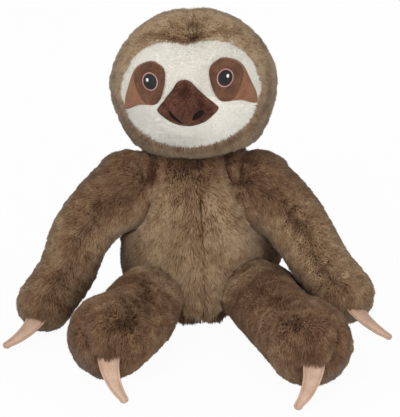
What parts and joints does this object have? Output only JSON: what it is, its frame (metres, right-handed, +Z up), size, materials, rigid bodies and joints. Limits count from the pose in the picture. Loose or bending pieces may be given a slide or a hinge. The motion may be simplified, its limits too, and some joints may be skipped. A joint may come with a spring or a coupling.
{
  "type": "plush sloth",
  "caption": "Seated plush sloth with a white face, brown eye patches, padded nose, hanging arms, splayed legs and soft suede claws.",
  "frame": {"origin": "centre of the flat seat, under the neck, on the floor plane", "axes": "+Z up along the neck, -Y out of the front of the toy, +X to the right as seen from in front"},
  "size_m": [0.3419, 0.2921, 0.2888],
  "materials": {
    "brown_plush": "short dense pile, matt",
    "white_plush": "short smooth pile, matt",
    "brown_suede": "faux suede, matt",
    "nose_velour": "fine velour, matt",
    "claw_suede": "faux suede, matt",
    "fibre_fill": "loose polyester fibre",
    "pellet_cloth": "woven cotton",
    "eye_ring_thread": "satin stitch, slight sheen",
    "pupil_thread": "satin stitch, slight sheen",
    "highlight_thread": "satin stitch, slight sheen",
    "nostril_velour": "dark velour, matt"
  },
  "bodies": {
    "torso": {"torso_left_cover": "brown_plush", "torso_right_cover": "brown_plush", "seat_panel": "brown_plush", "torso_stuffing": "fibre_fill", "seat_pellet_bag": "pellet_cloth"},
    "neck": {"neck_stuffing": "fibre_fill"},
    "head": {"head_left_cover": "brown_plush", "head_right_cover": "brown_plush", "head_stuffing": "fibre_fill", "face_panel": "white_plush", "chin_panel": "white_plush", "left_eye_patch": "brown_suede", "left_eye_ring": "eye_ring_thread", "left_eye_pupil": "pupil_thread", "left_eye_highlight": "highlight_thread", "right_eye_patch": "brown_suede", "right_eye_ring": "eye_ring_thread", "right_eye_pupil": "pupil_thread", "right_eye_highlight": "highlight_thread", "nose_cover": "nose_velour", "nose_stuffing": "fibre_fill", "left_nostril": "nostril_velour", "right_nostril": "nostril_velour"},
    "left_shoulder": {"left_shoulder_stuffing": "fibre_fill"},
    "left_arm": {"left_arm_cover": "brown_plush", "left_arm_stuffing": "fibre_fill"},
    "left_hip": {"left_hip_stuffing": "fibre_fill"},
    "left_leg": {"left_leg_cover": "brown_plush", "left_leg_stuffing": "fibre_fill"},
    "left_hand_claw": {"left_hand_claw_front": "claw_suede", "left_hand_claw_back": "claw_suede"},
    "left_foot_claw": {"left_foot_claw_front": "claw_suede", "left_foot_claw_back": "claw_suede"},
    "right_shoulder": {"right_shoulder_stuffing": "fibre_fill"},
    "right_arm": {"right_arm_cover": "brown_plush", "right_arm_stuffing": "fibre_fill"},
    "right_hip": {"right_hip_stuffing": "fibre_fill"},
    "right_leg": {"right_leg_cover": "brown_plush", "right_leg_stuffing": "fibre_fill"},
    "right_hand_claw": {"right_hand_claw_front": "claw_suede", "right_hand_claw_back": "claw_suede"},
    "right_foot_claw": {"right_foot_claw_front": "claw_suede", "right_foot_claw_back": "claw_suede"}
  },
  "joints": [
    {"name": "head_turn", "type": "hinge", "parent": "torso", "child": "neck", "pos_m": [0, 0, 0.132], "axis": [0, 0, 1], "range_deg": [-30, 30], "stiffness_Nm_per_rad": 1},
    {"name": "head_nod", "type": "hinge", "parent": "neck", "child": "head", "pos_m": [0, 0, 0.132], "axis": [1, 0, 0], "range_deg": [-10, 12], "stiffness_Nm_per_rad": 1.2},
    {"name": "left_arm_swing", "type": "hinge", "parent": "torso", "child": "left_shoulder", "pos_m": [-0.06, 0, 0.116], "axis": [-0.8829, 0, 0.4695], "range_deg": [-20, 70], "stiffness_Nm_per_rad": 0.4},
    {"name": "left_arm_lift", "type": "hinge", "parent": "left_shoulder", "child": "left_arm", "pos_m": [-0.06, 0, 0.116], "axis": [-0.2271, 0.8752, -0.4271], "range_deg": [0, 45], "stiffness_Nm_per_rad": 0.4},
    {"name": "right_arm_swing", "type": "hinge", "parent": "torso", "child": "right_shoulder", "pos_m": [0.06, 0, 0.116], "axis": [-0.8829, 0, -0.4695], "range_deg": [0, 70], "stiffness_Nm_per_rad": 0.4},
    {"name": "right_arm_lift", "type": "hinge", "parent": "right_shoulder", "child": "right_arm", "pos_m": [0.06, 0, 0.116], "axis": [-0.3425, -0.6838, 0.6442], "range_deg": [0, 45], "stiffness_Nm_per_rad": 0.4},
    {"name": "left_leg_spread", "type": "hinge", "parent": "torso", "child": "left_hip", "pos_m": [-0.03814, -0.04047, 0.0295], "axis": [0, 0, 1], "range_deg": [-10, 8], "stiffness_Nm_per_rad": 0.5},
    {"name": "left_leg_raise", "type": "hinge", "parent": "left_hip", "child": "left_leg", "pos_m": [-0.03814, -0.04047, 0.0295], "axis": [-0.9578, 0.2873, 0], "range_deg": [-30, 5], "stiffness_Nm_per_rad": 0.5},
    {"name": "right_leg_spread", "type": "hinge", "parent": "torso", "child": "right_hip", "pos_m": [0.04878, -0.0267, 0.0295], "axis": [0, 0, -1], "range_deg": [0, 8], "stiffness_Nm_per_rad": 0.5},
    {"name": "right_leg_raise", "type": "hinge", "parent": "right_hip", "child": "right_leg", "pos_m": [0.04878, -0.0267, 0.0295], "axis": [-0.9379, -0.347, 0], "range_deg": [-30, 0], "stiffness_Nm_per_rad": 0.5},
    {"name": "left_hand_claw_bend", "type": "hinge", "parent": "left_arm", "child": "left_hand_claw", "pos_m": [-0.14203, -0.08128, 0.02209], "axis": [-0.8591, 0.4966, 0.1241], "range_deg": [-20, 20], "stiffness_Nm_per_rad": 0.02},
    {"name": "right_hand_claw_bend", "type": "hinge", "parent": "right_arm", "child": "right_hand_claw", "pos_m": [0.14307, -0.11573, 0.04768], "axis": [0.7242, 0.6895, -0.0121], "range_deg": [-20, 20], "stiffness_Nm_per_rad": 0.02},
    {"name": "left_foot_claw_bend", "type": "hinge", "parent": "left_leg", "child": "left_foot_claw", "pos_m": [-0.07116, -0.18273, 0.03014], "axis": [0.9819, 0.0704, 0.1761], "range_deg": [-20, 20], "stiffness_Nm_per_rad": 0.02},
    {"name": "right_foot_claw_bend", "type": "hinge", "parent": "right_leg", "child": "right_foot_claw", "pos_m": [0.10159, -0.1963, 0.03078], "axis": [-0.9797, 0.0744, 0.186], "range_deg": [-20, 20], "stiffness_Nm_per_rad": 0.02}
  ]
}
